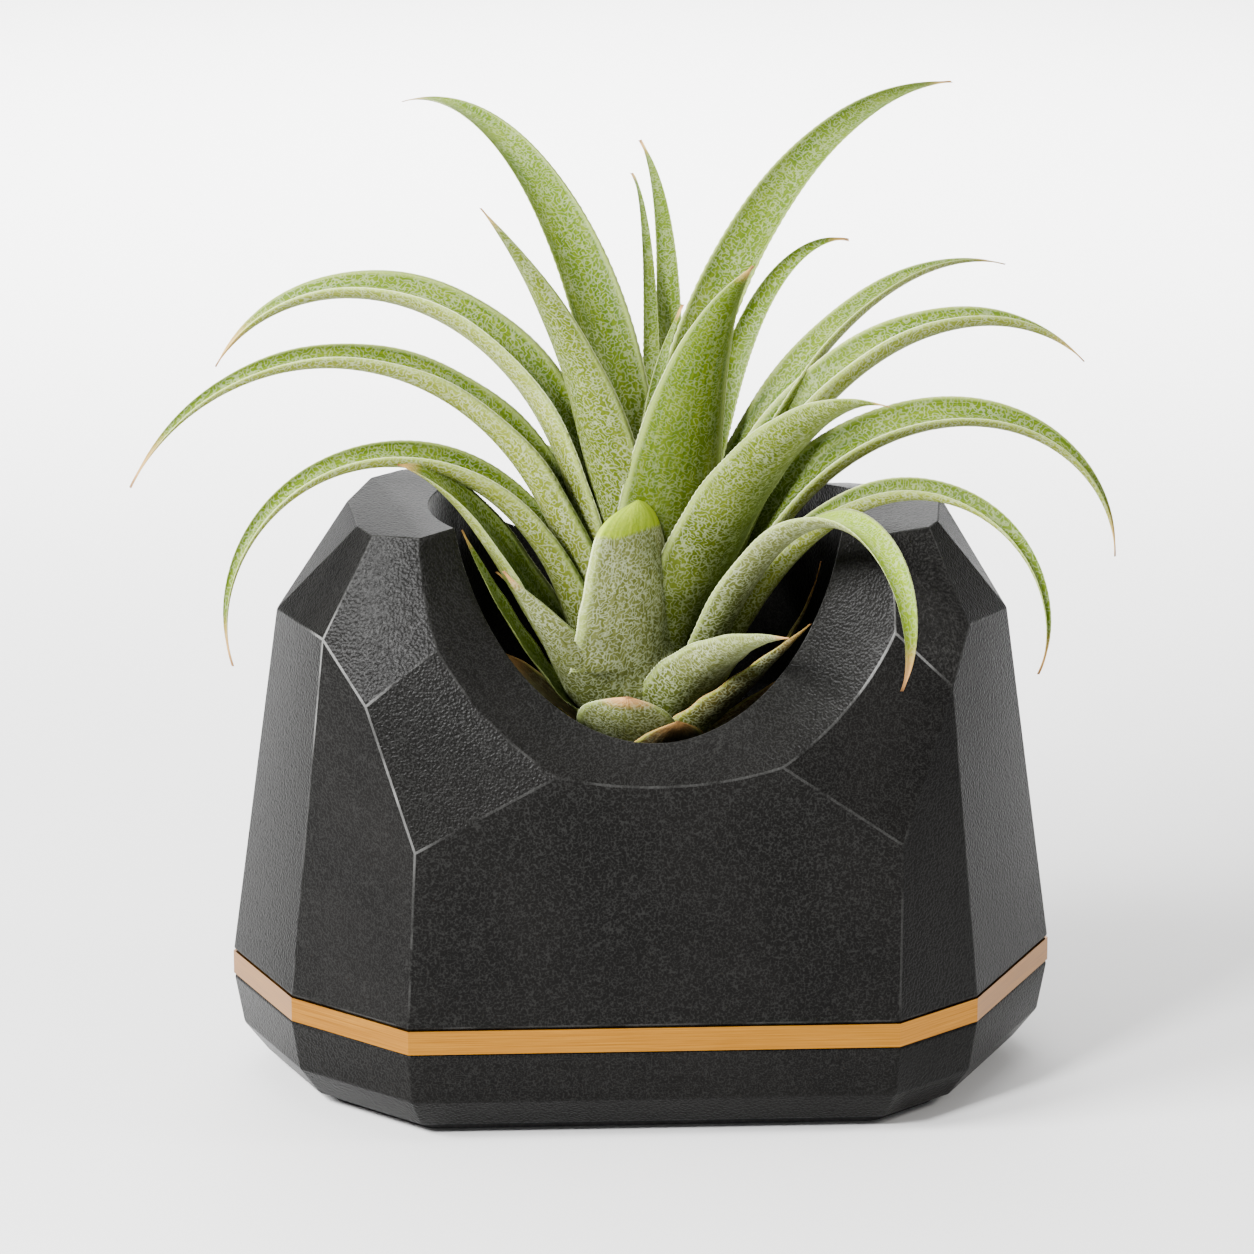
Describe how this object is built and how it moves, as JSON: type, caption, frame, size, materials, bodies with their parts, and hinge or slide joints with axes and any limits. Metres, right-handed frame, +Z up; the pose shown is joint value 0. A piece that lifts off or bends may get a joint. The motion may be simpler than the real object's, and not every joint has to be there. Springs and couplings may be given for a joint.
{
  "type": "air plant holder",
  "caption": "Faceted black cast holder with a brass band, scooped open front and a removable air plant standing in its round cavity.",
  "frame": {"origin": "middle of the pad's underside, on the ground under the middle of the brass band", "axes": "+Z up, -Y out of the deep front scoop, +X to the right seen from the front"},
  "size_m": [0.1651, 0.1398, 0.1597],
  "materials": {
    "cast_body": "matte black cast stone with a fine sandy grain",
    "brushed_brass": "brushed lengthwise",
    "insert_brass": "turned",
    "steel": "plain zinc-plated",
    "rubber": "matte black",
    "leaf": "living leaf with pale scales, orange-brown at the tip",
    "dry_bract": "dried brown leaf"
  },
  "bodies": {
    "holder": {"upper_body": "cast_body", "brass_band": "brushed_brass", "base": "cast_body", "threaded_inserts": "insert_brass", "screws": "steel", "base_pad": "rubber"},
    "plant": {"plant_stem": "leaf", "bract_front_blunt": "leaf", "bract_front_inner": "leaf", "bract_left_brown": "dry_bract", "bract_left_pointed": "leaf", "bract_low_left": "leaf", "bract_low_middle": "leaf", "bract_rear_left": "leaf", "bract_rear_middle": "leaf", "bract_rear_right": "leaf", "bract_right_brown": "dry_bract", "bract_right_narrow": "dry_bract", "bract_right_pointed": "leaf", "leaf_back_left_tall": "leaf", "leaf_back_right_tall": "leaf", "leaf_back_thin_left": "leaf", "leaf_back_thin_right": "leaf", "leaf_front_left_upright": "leaf", "leaf_front_right_broad": "leaf", "leaf_front_right_drooping": "leaf", "leaf_heart_broad": "leaf", "leaf_heart_spike": "leaf", "leaf_left_drooping": "leaf", "leaf_left_high": "leaf", "leaf_left_inner": "leaf", "leaf_left_long": "leaf", "leaf_left_small": "leaf", "leaf_rear_left": "leaf", "leaf_rear_middle": "leaf", "leaf_rear_right": "leaf", "leaf_right_arching": "leaf", "leaf_right_drooping": "leaf", "leaf_right_high": "leaf", "leaf_right_long": "leaf", "leaf_right_upright": "leaf", "leaf_right_withered": "dry_bract"}
  },
  "joints": [
    {"name": "plant_lift", "type": "slide", "parent": "holder", "child": "plant", "axis": [0, 0, 1], "range_m": [0, 0.06]}
  ]
}
